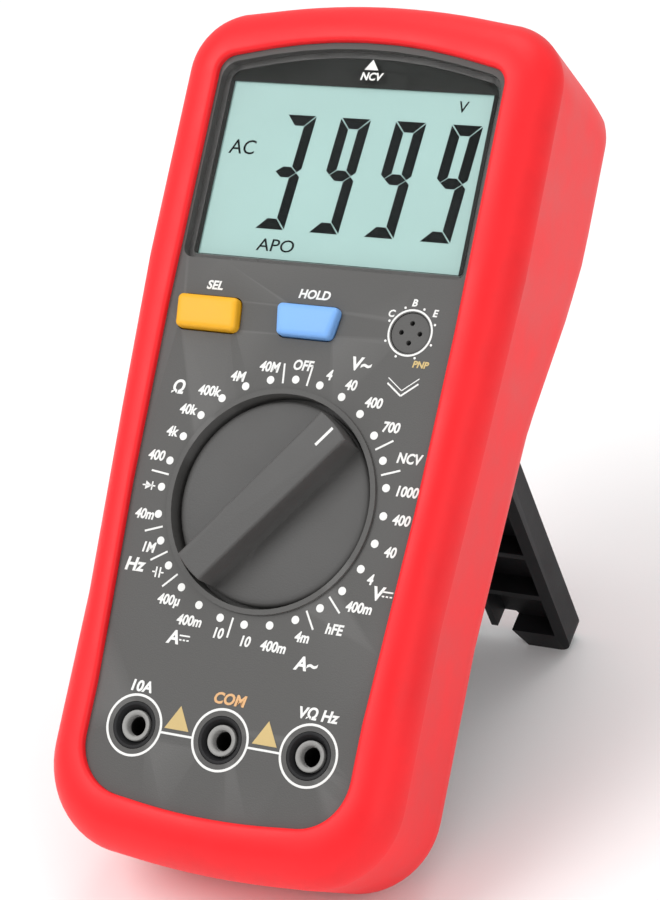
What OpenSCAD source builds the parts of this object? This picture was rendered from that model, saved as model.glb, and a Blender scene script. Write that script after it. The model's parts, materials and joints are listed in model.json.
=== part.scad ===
// Handheld digital multimeter standing on its open kick stand.
//
// Everything is drawn in the panel's own frame and then tilted as a whole:
// x to the right, y up the panel, z out of the panel, with the selector axis
// at the origin. Millimetres. A depth is a distance behind the panel.

/* [Case] */
// Half width of the case at the display end
case_half_top = 43.2; // [42.8:0.1:44]
// Half width of the case at the jack end
case_half_low = 39.9; // [39.5:0.1:40.4]
// Height of the top end above the selector axis
case_top = 108.5; // [108:0.5:110]
// Distance from the selector axis to the bottom end
case_bottom = 76; // [75.5:0.5:78]
// Depth of the lower back behind the panel
back_depth = 33.8; // [33.6:0.1:35]
// Depth of the battery hump behind the panel
hump_depth = 44.8; // [44.4:0.1:46]
// Height of the soft rim above the panel
rim_height = 1.5; // [1:0.1:2]

/* [Selector] */
// Number of selector positions
dial_positions = 28; // [28]
// Position that the pointer stands at, counted clockwise from the top
dial_rest = 3; // [0:1:27]
// Radius of the selector disc
knob_r = 21.4; // [20.5:0.1:21.6]
// Height of the pointer bar above the panel
bar_height = 6.6; // [5:0.2:8]

/* [Keys and jacks] */
// Travel of each key
key_travel = 1; // [0.6:0.1:1.2]
// Distance between neighbouring jacks
jack_pitch = 20; // [19.5:0.1:20.5]
// Distance from the selector axis down to the jacks
jack_drop = 49.2; // [49:0.1:49.6]
// Radius of each jack bore, for a 4 mm plug
jack_bore_r = 2; // [1.95:0.01:2.05]

/* [Kick stand] */
// Angle of the stand when it is open
stand_angle = 64; // [60:1:68]
// Length of the stand from its hinge to its feet
stand_length = 71.6; // [69:0.2:72]
// Half width of the stand
stand_half = 33; // [31:0.5:33]

/* [Hidden] */
$fn = 48;
wall = 2.2;
skin = 2;
case_wall = skin + wall;
crease = 6.2;
// Rounded front rim: height, inset and slope at each level
rim_levels = [[rim_height, 8.6, 0], [1.1, 5.6, 15], [0.35, 4, 32], [-0.95, 2.35, 48],
    [-2.6, 1.15, 62], [-crease, 0, 90]];
draft = 0.065;
edge_r = 8;
slope_low_y = 26;
slope_high_y = 66;
top_lean = 0.35;
far = 200;
slice = 0.01;
panel_t = 2.4;

// Kick stand hinge line and plate, and the recess that it folds into
hinge_y = 24.8;
hinge_z = -32.5;
stand_t = 7;
barrel_r = stand_t / 2;
pin_r = 2;
pin_end = 34.9;
pocket_gap = 0.4;
pocket_floor_z = hinge_z + barrel_r + pocket_gap;
pocket_low_y = hinge_y - stand_length - 3.4;
pocket_high_y = hinge_y + barrel_r + 0.9;
pocket_half = stand_half + pocket_gap;
notch_half = 19;
notch_rise = 6;
notch_run = 6;

// Tilt at which the rounded bottom edge and both feet touch the ground
edge_y = -case_bottom + (back_depth - edge_r - crease) * draft + edge_r;
edge_z = -(back_depth - edge_r);
foot_y = hinge_y - stand_length * cos(stand_angle) - barrel_r * sin(stand_angle);
foot_z = hinge_z - stand_length * sin(stand_angle) + barrel_r * cos(stand_angle);
reach = norm([edge_y - foot_y, edge_z - foot_z]);
tilt = atan2(edge_y - foot_y, edge_z - foot_z) + acos(edge_r / reach);
origin_y = -22.9;
origin_z = edge_r - edge_y * sin(tilt) - edge_z * cos(tilt);
foot_bevel = tilt + stand_angle - 90;

// Display
lens_top_z = -0.8;
lens_t = 1.2;
mask_t = 0.15;
view_x = 30.3;
view_low = 51;
view_high = 89.4;
lcd_x = 31;
lcd_low = 50.85;
lcd_high = 91;
lcd_z = -2.4;
lcd_t = 2.2;
zebra_low = 50.5;
zebra_high = 52.3;

// Lit digits: centre lines of the segments, slant, and which segments are lit
segment_t = 0.08;
segment_w = 1.9;
segment_gap = 0.15;
digit_w = 5;
digit_h = 23.3;
digit_pitch = 12.75;
digit_x = -17.5;
digit_y = 58.45;
digit_slant = 0.083;
digit_segments = [
    [1, 0, 0, 1, 1, 1, 1],
    [1, 1, 0, 1, 1, 1, 1],
    [1, 1, 0, 1, 1, 1, 1],
    [1, 1, 0, 1, 1, 1, 1]];

// Circuit board
pcb_z = -12;
pcb_t = 1.6;
pcb_back = pcb_z - pcb_t;
shunt_x = -24;
shunt_y = -38;
shunt_bend = 5;
post_spots = [[31, 28], [-31, 28], [29, -30], [-29, -30]];
screw_spots = [[28, -62], [-28, -62], [29, 46], [-29, 46]];

// Selector
well_r = 22.4;
well_ring_r = 23.5;
well_floor_z = -4.4;
well_back_z = -6;
shaft_r = 5.93;
shaft_bore_r = 6;
rest_turn = -dial_rest * 360 / dial_positions;
notch_r = 1.8;
ball_r = 1.5;
ball_path_r = 20.2;
ring_in_r = 21.75;
ball_z = -8.6;
bar_tail = 3.8;
bar_tip = 1.6;
bar_spread = 3.2;

// Detent springs
coil_r = 1.1;
coil_wire_r = 0.2;
coil_link_r = 0.14;
coil_turns = 9;
coil_length = 9;

// Keys: corner points of each key, clockwise from the top left
key_round = 1.6;
key_proud = 2;
select_outline = [[-30.6, 41.2], [-16.3, 41.2], [-15.6, 34], [-30, 34]];
hold_outline = [[-7, 41.2], [7.2, 41.2], [6.4, 34.4], [-6.2, 34.4]];
select_x = -23.2;
hold_x = 0.1;
key_y = 37.7;

// Transistor socket
hfe_x = 23.3;
hfe_y = 37.7;
hfe_r = 4.2;

// Jacks
jack_xs = [-jack_pitch, 0, jack_pitch];
cup_r = 4.85;
cup_in_r = 4.45;
tube_r = 3.2;
sleeve_r = 2.65;

// Battery bay
battery = [48.5, 26.5, 17.5];
battery_x = 2.9;
battery_y = 75.5;
battery_z = -41.75;
stud_x = battery_x - battery[0] / 2;
bay_low_x = -30.6;
bay_high_x = 27.6;
bay_half_y = 13.7;
bay_floor_z = -24.2;
door_half = 32;
door_low = 58.6;
door_high = 91.5;
door_gap = 0.3;
door_screw_y = door_low - 3.4;
door_seat_z = -40.7;

// ---- Outlines -------------------------------------------------------------

function arc(x, y, r, from, to, steps) =
    [for (i = [0:steps]) let (a = from + (to - from) * i / steps)
        [x + r * cos(a), y + r * sin(a)]];

function both_sides(pts) =
    concat(pts, [for (i = [len(pts) - 1:-1:0]) [-pts[i][0], pts[i][1]]]);

// Closed outline, inset by e, of a tapered plate with bowed ends. low and high
// are [half width, end y, corner radius, bow]; side lists points in between.
function plate(low, high, side, e) = let (
        low_x = low[0] - low[2],
        high_x = high[0] - high[2])
    both_sides(concat(
        [for (i = [0:3]) [low_x * i / 4, low[1] + e + low[3] * pow(i / 4, 2)]],
        arc(low_x, low[1] + low[3] + low[2], low[2] - e, -84, 0, 7),
        [for (p = side) [p[0] - e, p[1]]],
        arc(high_x, high[1] - high[3] - high[2], high[2] - e, 0, 78, 7),
        [for (i = [3:-1:0]) [high_x * i / 4, high[1] - e - high[3] * pow(i / 4, 2)]]));

function case_outline(e) = plate([case_half_low, -case_bottom, 19, 1.1],
    [case_half_top, case_top, 14, 2.6],
    [[case_half_low, -20], [case_half_low + 1.9, 20], [case_half_top, 52]], e);

function panel_outline(e) = plate([30.5, -65, 11, 1.3], [33.3, 98.5, 4, 4],
    [[30.5, -42], [31.05, -28], [32.5, 0], [33.3, 38]], e);

function lens_outline(e) = plate([32.5, 49.6, 2, 0], [32.5, 97, 4, 3.8], [], e);

// Levels of the case surface as [z, inset] pairs, moved inwards by t
function front_levels(t) = [for (l = rim_levels)
    [l[0] - t * cos(l[2]), l[1] + t * sin(l[2])]];

function back_levels(depth, t) = [for (a = [0:15:90])
    [-(depth - edge_r) - (edge_r - t) * sin(a),
     (depth - edge_r - crease) * draft + edge_r - (edge_r - t) * cos(a)]];

// ---- Shared shapes --------------------------------------------------------

// Tilts the panel frame into the standing position
module standing() {
    translate([0, origin_y, origin_z]) rotate([tilt, 0, 0]) children();
}

module level(z, e) {
    translate([0, 0, z]) linear_extrude(slice) polygon(case_outline(e));
}

// A side view, drawn as y and z, made solid across the whole width
module across(half = far) {
    rotate([90, 0, 90]) linear_extrude(2 * half, center = true) children();
}

// The case's outer form, with every surface moved inwards by t
module case_form(t) {
    intersection() {
        union() {
            hull() for (l = concat(front_levels(t), back_levels(back_depth, t))) level(l[0], l[1]);
            intersection() {
                hull() for (l = concat([[-crease, t]], back_levels(hump_depth, t))) level(l[0], l[1]);
                across() offset(delta = -t) polygon([[slope_low_y, -back_depth],
                    [slope_high_y, -hump_depth], [far, -hump_depth], [far, -20],
                    [slope_low_y, -20]]);
            }
        }
        across() offset(r = edge_r - t) offset(delta = -edge_r) polygon([[-far, 30],
            [case_top + top_lean * (30 + crease), 30],
            [case_top - top_lean * (hump_depth - crease), -hump_depth],
            [-far, -hump_depth]]);
    }
}

module prism(pts, z0, z1) {
    translate([0, 0, z0]) linear_extrude(z1 - z0) polygon(pts);
}

module box(x0, x1, y0, y1, z0, z1) {
    translate([x0, y0, z0]) cube([x1 - x0, y1 - y0, z1 - z0]);
}

module rod(x, y, z0, z1, r) {
    translate([x, y, z0]) cylinder(h = z1 - z0, r = r);
}

module tube(x, y, z0, z1, r, bore) {
    difference() {
        rod(x, y, z0, z1, r);
        rod(x, y, z0 - 1, z1 + 1, bore);
    }
}

module in_front() { box(-far, far, -far, far, -crease, far); }
module behind() { box(-far, far, -far, far, -far, -crease); }

module key_shape(pts, z0, z1, grow) {
    translate([0, 0, z0]) linear_extrude(z1 - z0)
        offset(r = key_round + grow) offset(delta = -key_round) polygon(pts);
}

// Pan-head screw that points towards the panel, with a cross slot
module screw(x, y, seat_z, tip_z, head_r, head_t, shank_r) {
    difference() {
        union() {
            rod(x, y, seat_z - head_t, seat_z, head_r);
            rod(x, y, seat_z - 0.01, tip_z, shank_r);
        }
        for (turn = [0, 90]) translate([x, y, seat_z - head_t]) rotate([0, 0, turn])
            cube([head_r * 1.2, head_r * 0.28, head_t], center = true);
    }
}

// ---- Case -----------------------------------------------------------------

module front_case() {
    color("dimgray") standing() difference() {
        union() {
            intersection() {
                difference() {
                    case_form(skin);
                    case_form(case_wall);
                }
                in_front();
            }
            prism(panel_outline(0), -panel_t, 0);
            rod(0, 0, well_back_z, 0, 24);
            rod(0, 0, -0.5, 0.6, well_ring_r);
            for (p = post_spots) rod(p[0], p[1], pcb_z, -panel_t, 2.3);
            for (p = screw_spots) rod(p[0], p[1], -16.8, -panel_t, 3.4);
        }
        prism(lens_outline(-0.1), lens_top_z - lens_t, 5);
        prism(lens_outline(1.2), -9, 5);
        rod(0, 0, well_floor_z, 5, well_r);
        rod(0, 0, -20, 5, shaft_bore_r);
        key_shape(select_outline, -9, 5, 0.35);
        key_shape(hold_outline, -9, 5, 0.35);
        rod(hfe_x, hfe_y, -9, 5, hfe_r + 0.1);
        for (x = jack_xs) rod(x, -jack_drop, -9, 5, cup_r + 0.05);
        for (p = post_spots) rod(p[0], p[1], pcb_z - 1, -6, 0.95);
        for (p = screw_spots) rod(p[0], p[1], -18, -6, 1.45);
    }
}

module front_bumper() {
    color("red") standing() intersection() {
        difference() {
            case_form(0);
            case_form(skin);
            prism(panel_outline(0), -20, 20);
        }
        in_front();
    }
}

module stand_pocket(grow) {
    box(-pocket_half - grow, pocket_half + grow, pocket_low_y - grow, pocket_high_y + grow,
        -80, pocket_floor_z + grow);
}

module battery_bay(grow) {
    box(bay_low_x - grow, bay_high_x + grow, battery_y - bay_half_y - grow,
        battery_y + bay_half_y + grow, -80, bay_floor_z + grow);
}

module door_prism(grow) {
    translate([0, 0, -80]) linear_extrude(55)
        translate([-door_half - grow, door_low - grow])
            square([2 * (door_half + grow), door_high - door_low + 2 * grow]);
}

module rear_case() {
    color("darkslategray") standing() difference() {
        union() {
            intersection() {
                difference() {
                    case_form(skin);
                    case_form(case_wall);
                }
                behind();
            }
            intersection() {
                case_form(skin);
                union() {
                    stand_pocket(1.8);
                    battery_bay(1.4);
                    for (p = screw_spots) rod(p[0], p[1], -60, -17, 4.3);
                    rod(0, door_screw_y, -60, -30, 4);
                }
            }
        }
        stand_pocket(0);
        battery_bay(0);
        for (p = screw_spots) {
            rod(p[0], p[1], -60, -25, 3.1);
            rod(p[0], p[1], -60, -10, 1.7);
        }
        rod(0, door_screw_y, -60, -33, 1.95);
        translate([-pin_end - 0.2, hinge_y, hinge_z]) rotate([0, 90, 0])
            cylinder(h = 2 * pin_end + 0.4, r = pin_r + 0.06);
    }
}

module rear_bumper() {
    color("firebrick") standing() difference() {
        intersection() {
            difference() {
                case_form(0);
                case_form(skin);
            }
            behind();
        }
        stand_pocket(1.6);
        door_prism(0.3);
        for (p = screw_spots) rod(p[0], p[1], -60, -25, 3.6);
        rod(0, door_screw_y, -60, -25, 4.4);
    }
}

// Cover of the battery bay, with a tongue that its screw passes through
module battery_door() {
    color("dimgray") standing() difference() {
        intersection() {
            difference() {
                case_form(0);
                case_form(skin - door_gap);
            }
            union() {
                door_prism(0);
                rod(0, door_screw_y, -60, -30, 4.1);
            }
        }
        rod(0, door_screw_y, -60, -30, 1.3);
        rod(0, door_screw_y, -60, door_seat_z, 2.4);
    }
}

module battery_door_screw() {
    color("silver") standing()
        screw(0, door_screw_y, door_seat_z, -35.5, 2.2, 1.2, 1.2);
}

module door_screw_insert() {
    color("goldenrod") standing() tube(0, door_screw_y, -39.2, -33.4, 1.95, 1.3);
}

module case_screws() {
    color("silver") standing() for (p = screw_spots)
        screw(p[0], p[1], -25, -9, 2.8, 2, 1.4);
}

// ---- Kick stand -----------------------------------------------------------

// The stand lies along -y from its hinge, with its inner face towards +z, and
// is then swung open about the hinge.
module kick_stand() {
    foot_out = stand_length + stand_t * tan(foot_bevel);
    color("black") standing() translate([0, hinge_y, hinge_z]) rotate([stand_angle, 0, 0]) {
        difference() {
            union() {
                across(stand_half) polygon([[0, barrel_r], [0, -barrel_r],
                    [-foot_out, -barrel_r], [-stand_length, barrel_r]]);
                rotate([0, 90, 0]) cylinder(h = 2 * stand_half, r = barrel_r, center = true);
                rotate([0, 90, 0]) cylinder(h = 2 * pin_end, r = pin_r, center = true);
            }
            // Open cells between the ribs of the inner face
            for (column = [-2:1:1]) for (row = [0:3])
                box(column * 15.4 + 0.8, (column + 1) * 15.4 - 0.8,
                    -8 - row * 15 - 13.4, -8 - row * 15, -1.3, 10);
            // Notch between the feet
            translate([0, 0, -10]) linear_extrude(20) polygon([
                [-notch_half, notch_rise - stand_length], [notch_half, notch_rise - stand_length],
                [notch_half + notch_run, -stand_length - 5], [-notch_half - notch_run, -stand_length - 5]]);
            // Rounded corners of the feet
            for (side = [-1, 1]) scale([side, 1, 1]) difference() {
                box(stand_half - 3, stand_half + 1, -stand_length - 9, -stand_length + 3, -9, 9);
                rod(stand_half - 3, -stand_length + 3, -10, 10, 3);
                box(stand_half - 4, stand_half - 3, -far, far, -10, 10);
            }
        }
    }
}

// ---- Display --------------------------------------------------------------

module lcd_window() {
    color("lightblue", 0.4) standing()
        prism(lens_outline(0), lens_top_z - lens_t, lens_top_z);
}

module window_mask() {
    color("black") standing() difference() {
        prism(lens_outline(1.3), lens_top_z - lens_t - mask_t, lens_top_z - lens_t);
        box(-view_x, view_x, view_low, view_high, -5, 0);
    }
}

module lcd_glass() {
    color("darkseagreen") standing()
        box(-lcd_x, lcd_x, lcd_low, lcd_high, lcd_z - lcd_t, lcd_z);
}

// One bar of a digit, pointed at both ends
module segment(w, flat) {
    half = segment_w / 2;
    rotate([0, 0, flat ? 0 : 90]) polygon([[half, half], [w - half, half], [w - segment_gap, 0],
        [w - half, -half], [half, -half], [segment_gap, 0]]);
}

module digit(lit) {
    half = digit_h / 2;
    if (lit[0]) translate([0, digit_h]) segment(digit_w, true);
    if (lit[1]) translate([0, half]) segment(half, false);
    if (lit[2]) segment(half, false);
    if (lit[3]) segment(digit_w, true);
    if (lit[4]) translate([digit_w, 0]) segment(half, false);
    if (lit[5]) translate([digit_w, half]) segment(half, false);
    if (lit[6]) translate([0, half]) segment(digit_w, true);
}

module display_segments() {
    color("black") standing() translate([digit_x, digit_y, lcd_z]) linear_extrude(segment_t)
        multmatrix([[1, digit_slant, 0, 0], [0, 1, 0, 0], [0, 0, 1, 0], [0, 0, 0, 1]])
            for (i = [0:3]) translate([i * digit_pitch, 0]) digit(digit_segments[i]);
}

module lcd_frame() {
    color("dimgray") standing() difference() {
        box(-34.5, 34.5, 47.6, 95.5, pcb_z + 0.1, lcd_z - lcd_t);
        box(-lcd_x + 0.4, lcd_x - 0.4, zebra_low - 0.2, lcd_high, -13, 0);
        for (p = screw_spots) rod(p[0], p[1], -20, 0, 3.5);
    }
}

module lcd_diffuser() {
    color("white") standing() box(-30.4, 30.4, 52.4, 90.8, -7.2, lcd_z - lcd_t);
}

module backlight_leds() {
    color("gold") standing() for (x = [-18, 0, 18])
        box(x - 1.6, x + 1.6, 85, 88, pcb_z, pcb_z + 1.4);
}

module zebra_strips() {
    color("gray") standing() box(-28, 28, zebra_low, zebra_high, pcb_z, lcd_z - lcd_t);
}

// ---- Circuit board --------------------------------------------------------

module main_pcb() {
    color("darkgreen") standing() difference() {
        prism(case_outline(7.6), pcb_back, pcb_z);
        for (x = jack_xs) rod(x, -jack_drop, -20, 0, tube_r + 0.1);
        for (p = screw_spots) rod(p[0], p[1], -20, 0, 3.8);
        for (p = post_spots) rod(p[0], p[1], -20, 0, 1.15);
        rod(0, 0, -20, 0, 3.2);
        hfe_holes(0.75, -20, 0);
        for (side = [-1, 1]) rod(shunt_x + side * shunt_bend, shunt_y, -20, 0, 0.9);
    }
}

module pcb_screws() {
    color("silver") standing() for (p = post_spots)
        screw(p[0], p[1], pcb_back, -7.5, 2.1, 1.4, 0.9);
}

// ---- Selector -------------------------------------------------------------

module bar_section(z, grow) {
    translate([0, 0, z]) linear_extrude(slice) polygon([[-bar_tail - grow, -30], [bar_tail + grow, -30],
        [bar_tip + grow * 0.8, 30], [-bar_tip - grow * 0.8, 30]]);
}

module selector_knob() {
    color("dimgray") standing() rotate([0, 0, rest_turn]) {
        rod(0, 0, -3.9, -1.6, knob_r);
        intersection() {
            hull() {
                bar_section(-1.7, bar_spread);
                bar_section(1.5, bar_spread * 0.45);
                bar_section(bar_height - 0.8, 0.5);
                bar_section(bar_height - slice, 0);
            }
            rod(0, 0, -3, 20, knob_r - 0.3);
        }
        rod(0, 0, -11.3, -3.8, shaft_r - 1.9);
        rod(0, 0, -6.3, -3.8, shaft_r);
    }
}

module selector_rotor() {
    color("ivory") standing() rotate([0, 0, rest_turn]) difference() {
        union() {
            rod(0, 0, -10.6, -9, 19);
            rod(0, 0, -10.6, -6.5, 6.2);
            for (turn = [0, 180]) rotate([0, 0, turn])
                box(-2.9, 2.9, 6, 20, -10.6, -6.5);
        }
        rod(0, 0, -20, 0, shaft_r - 1.85);
        for (turn = [0, 180]) rotate([0, 0, turn]) translate([0, 9, ball_z]) rotate([-90, 0, 0])
            cylinder(h = 20, r = ball_r + 0.08);
    }
}

// Sprung blades that bridge the board's contact rings
module wiper_contacts() {
    color("gold") standing() rotate([0, 0, rest_turn])
        for (turn = [45:90:315]) rotate([0, 0, turn]) for (r = [8, 12, 16])
            box(r - 0.9, r + 0.9, -2.6, 2.6, pcb_z + 0.3, -10.6);
}

module detent_balls() {
    color("silver") standing() rotate([0, 0, rest_turn]) for (turn = [0, 180])
        rotate([0, 0, turn]) translate([0, ball_path_r, ball_z]) sphere(r = ball_r);
}

// Spring drawn as level turns, each joined to the next by a short link
module coil() {
    pitch = coil_length / coil_turns;
    for (i = [0:coil_turns]) translate([0, 0, i * pitch])
        rotate_extrude() translate([coil_r, 0]) circle(r = coil_wire_r);
    for (i = [0:coil_turns - 1]) rotate([0, 0, 180 * i]) translate([coil_r, 0, i * pitch])
        cylinder(h = pitch, r = coil_link_r);
}

module detent_springs() {
    color("silver") standing() rotate([0, 0, rest_turn]) for (turn = [0, 180])
        rotate([0, 0, turn]) translate([0, 9.3, ball_z]) rotate([-90, 0, 0]) coil();
}

module detent_ring() {
    color("ivory") standing() difference() {
        tube(0, 0, -10.9, well_back_z, 23.8, ring_in_r);
        for (i = [0:dial_positions - 1]) rotate([0, 0, i * 360 / dial_positions])
            rod(0, ball_path_r, -20, 0, notch_r);
    }
}

// ---- Keys -----------------------------------------------------------------

// Key cap with the flange that keeps it in and the stem that it presses with
module key(pts, x) {
    key_shape(pts, -3.8, key_proud - 0.5, 0);
    key_shape(pts, key_proud - 0.51, key_proud, -0.5);
    key_shape(pts, -4.2, -3.2, 1.1);
    rod(x, key_y, -8.4, -4, 2);
}

module select_key() {
    color("gold") standing() key(select_outline, select_x);
}

module hold_key() {
    color("cornflowerblue") standing() key(hold_outline, hold_x);
}

module pill(x) {
    color("black") standing() rod(x, key_y, pcb_z + 0.5 + key_travel, -8.4, 2);
}

module select_pill() { pill(select_x); }
module hold_pill() { pill(hold_x); }

module keypad_mat() {
    color("gray") standing() difference() {
        union() {
            box(-30, 7.5, 32.4, 42.4, pcb_z, pcb_z + 1);
            for (x = [select_x, hold_x]) translate([x, key_y, pcb_z + 0.9])
                cylinder(h = 1.9, r1 = 4.6, r2 = 3.4);
        }
        for (x = [select_x, hold_x]) rod(x, key_y, -20, 0, 2.5);
    }
}

// ---- Sockets --------------------------------------------------------------

module hfe_holes(r, z0, z1) {
    for (turn = [0:90:270]) translate([hfe_x, hfe_y, 0]) rotate([0, 0, turn])
        rod(0, 2.05, z0, z1, r);
}

module hfe_socket() {
    color("black") standing() difference() {
        union() {
            rod(hfe_x, hfe_y, pcb_z, -0.2, hfe_r);
            rod(hfe_x, hfe_y, -4.4, -2.75, hfe_r + 1);
        }
        hfe_holes(0.5, -7, 5);
        hfe_holes(0.75, -20, -6.9);
    }
}

module hfe_contacts() {
    color("gold") standing() hfe_holes(0.7, pcb_back - 1.2, -7);
}

module jack_block() {
    color("black") standing() difference() {
        union() {
            box(-jack_pitch - 8, jack_pitch + 8, -jack_drop - 6.4, -jack_drop + 6.4, -9.4, -7.6);
            for (x = jack_xs) {
                tube(x, -jack_drop, -9, -0.1, cup_r, cup_in_r);
                rod(x, -jack_drop, -9.4, -1.4, tube_r);
            }
        }
        for (x = jack_xs) rod(x, -jack_drop, -30, 5, sleeve_r);
    }
}

module jack_sleeve(x) {
    color("silver") standing() tube(x, -jack_drop, -23, -2.4, sleeve_r, jack_bore_r);
}

module jack_sleeve_amp() { jack_sleeve(-jack_pitch); }
module jack_sleeve_com() { jack_sleeve(0); }
module jack_sleeve_volt() { jack_sleeve(jack_pitch); }

// ---- Components on the back of the board ----------------------------------

// A cylinder that lies along x on the back of the board
module lying(x, y, lift, length, r) {
    translate([x - length / 2, y, pcb_back - lift]) rotate([0, 90, 0]) cylinder(h = length, r = r);
}

module meter_chip() {
    color("black") standing() box(-17, -3, 3, 17, pcb_back - 1.5, pcb_back);
}

module crystal() {
    color("silver") standing() box(3, 13, 19, 23, pcb_back - 3.5, pcb_back);
}

module trimmer_pots() {
    color("royalblue") standing() for (y = [6, 14]) difference() {
        box(21, 27, y - 3, y + 3, pcb_back - 5, pcb_back);
        rod(24, y, -30, pcb_back - 4.2, 1.4);
    }
}

module precision_resistors() {
    color("burlywood") standing() for (i = [0:5]) lying(-24, -22 + i * 3.6, 1.3, 6.5, 1.15);
}

module electrolytic_capacitors() {
    color("navy") standing() for (y = [-4, -11]) lying(6, y, 3, 9, 2.6);
}

module varistors() {
    color("steelblue") standing() for (y = [-60, -65.5]) for (x = [-9, 9])
        translate([x, y, pcb_back - 5.4]) rotate([90, 0, 0])
            cylinder(h = 2.6, r = 4.4, center = true);
}

module ptc_thermistor() {
    color("olive") standing() lying(24, -20, 4.6, 3.4, 4);
}

module shunt_wire() {
    color("peru") standing() translate([shunt_x, shunt_y, pcb_back - 4]) rotate([-90, 0, 0]) {
        rotate_extrude(angle = 180) translate([shunt_bend, 0]) circle(r = 0.8);
        for (x = [-shunt_bend, shunt_bend]) translate([x, 0, 0]) rotate([90, 0, 0])
            cylinder(h = 6.5, r = 0.8);
    }
}

module fuse_high() {
    color("white") standing() lying(0, -37, 5, 31, 3.15);
}

module fuse_low() {
    color("lightgray") standing() lying(0, -27, 5, 20, 2.6);
}

module fuse_clip(x, y, r) {
    difference() {
        box(x - 2, x + 2, y - r - 0.7, y + r + 0.7, pcb_back - 6, pcb_back);
        lying(x, y, 5, 8, r + 0.01);
    }
}

module fuse_clips() {
    color("goldenrod") standing() for (side = [-1, 1]) {
        fuse_clip(side * 12.5, -37, 3.15);
        fuse_clip(side * 7, -27, 2.6);
    }
}

module buzzer() {
    color("black") standing() difference() {
        rod(18, -6, pcb_back - 4.5, pcb_back, 7);
        rod(18, -6, pcb_back - 5, pcb_back - 3, 1.2);
    }
}

// Bent strip at the top edge of the board
module ncv_antenna() {
    color("peru") standing() {
        box(-7, 7, 96.4, 96.9, pcb_z, pcb_z + 3);
        box(-7, 7, 96.4, 99.4, pcb_z + 2.5, pcb_z + 3);
    }
}

// ---- Battery --------------------------------------------------------------

module battery_block() {
    color("saddlebrown") standing() {
        box(stud_x, stud_x + battery[0], battery_y - battery[1] / 2,
            battery_y + battery[1] / 2, battery_z, battery_z + battery[2]);
        for (side = [-1, 1]) translate([stud_x - 2.8, battery_y + side * 6.35, battery_z + battery[2] / 2])
            rotate([0, 90, 0]) cylinder(h = 3, r = side > 0 ? 2.9 : 3.6);
    }
}

module battery_terminals() {
    color("black") standing() difference() {
        box(-30.5, stud_x - 0.1, battery_y - 12.6, battery_y + 12.6, -41.5, -25);
        for (side = [-1, 1]) translate([stud_x - 3, battery_y + side * 6.35, battery_z + battery[2] / 2])
            rotate([0, 90, 0]) cylinder(h = 9, r = side > 0 ? 3 : 3.7);
    }
}

front_case();
front_bumper();
rear_case();
rear_bumper();
battery_door();
battery_door_screw();
door_screw_insert();
case_screws();
kick_stand();
lcd_window();
window_mask();
lcd_glass();
display_segments();
lcd_frame();
lcd_diffuser();
backlight_leds();
zebra_strips();
main_pcb();
pcb_screws();
selector_knob();
selector_rotor();
wiper_contacts();
detent_balls();
detent_springs();
detent_ring();
select_key();
hold_key();
select_pill();
hold_pill();
keypad_mat();
hfe_socket();
hfe_contacts();
jack_block();
jack_sleeve_amp();
jack_sleeve_com();
jack_sleeve_volt();
meter_chip();
crystal();
trimmer_pots();
precision_resistors();
electrolytic_capacitors();
varistors();
ptc_thermistor();
shunt_wire();
fuse_high();
fuse_low();
fuse_clips();
buzzer();
ncv_antenna();
battery_block();
battery_terminals();
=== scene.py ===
"""Looks of the handheld multimeter: moulded shells, materials, dial print and display."""

import json
import math

import bmesh
import bpy
from mathutils import Matrix, Vector


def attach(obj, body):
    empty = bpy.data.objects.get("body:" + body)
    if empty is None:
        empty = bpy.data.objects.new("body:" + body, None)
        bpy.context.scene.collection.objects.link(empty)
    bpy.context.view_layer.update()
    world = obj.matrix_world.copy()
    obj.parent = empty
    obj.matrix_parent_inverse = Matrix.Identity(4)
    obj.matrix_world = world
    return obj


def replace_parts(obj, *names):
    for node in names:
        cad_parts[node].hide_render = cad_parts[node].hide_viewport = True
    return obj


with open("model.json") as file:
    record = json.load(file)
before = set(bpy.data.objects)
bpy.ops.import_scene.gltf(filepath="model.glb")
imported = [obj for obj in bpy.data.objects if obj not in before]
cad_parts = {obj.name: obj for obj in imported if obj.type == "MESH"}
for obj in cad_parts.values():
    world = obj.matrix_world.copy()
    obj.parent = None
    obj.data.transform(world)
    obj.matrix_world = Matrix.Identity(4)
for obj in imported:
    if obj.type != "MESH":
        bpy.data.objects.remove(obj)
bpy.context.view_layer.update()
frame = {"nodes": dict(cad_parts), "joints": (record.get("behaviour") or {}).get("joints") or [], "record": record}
MM = 0.001
joints = {j["name"]: j for j in frame["joints"]}

# ---- The panel's own frame -------------------------------------------------
# Millimetres: x to the right, y up the panel, z out of it, selector axis at 0.
out = Vector(joints["selector_turn"]["axis"]).normalized()
side = Vector((1, 0, 0))
PANEL = Matrix.Translation(joints["selector_turn"]["pos_m"]) @ Matrix(
    (side, out.cross(side), out)).transposed().to_4x4()
TO_PANEL = PANEL.inverted()


def row(x, y, z):
    """A panel point in millimetres as a point of the row frame in metres."""
    return PANEL @ (Vector((x, y, z)) * MM)


def panel_box(node):
    """A CAD node's lowest and highest corners in the panel's frame, in millimetres."""
    points = [TO_PANEL @ v.co / MM for v in frame["nodes"][node].data.vertices]
    return [Vector(f(p[i] for p in points) for i in range(3)) for f in (min, max)]


# ---- Materials -------------------------------------------------------------

def new_material(name):
    mat = bpy.data.materials.new(name)
    mat.use_nodes = True
    return mat, mat.node_tree, mat.node_tree.nodes["Principled BSDF"]


def add(tree, kind, **values):
    node = tree.nodes.new(kind)
    for key, value in values.items():
        if key in node.inputs:
            node.inputs[key].default_value = value
        else:
            setattr(node, key, value)
    return node


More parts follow.
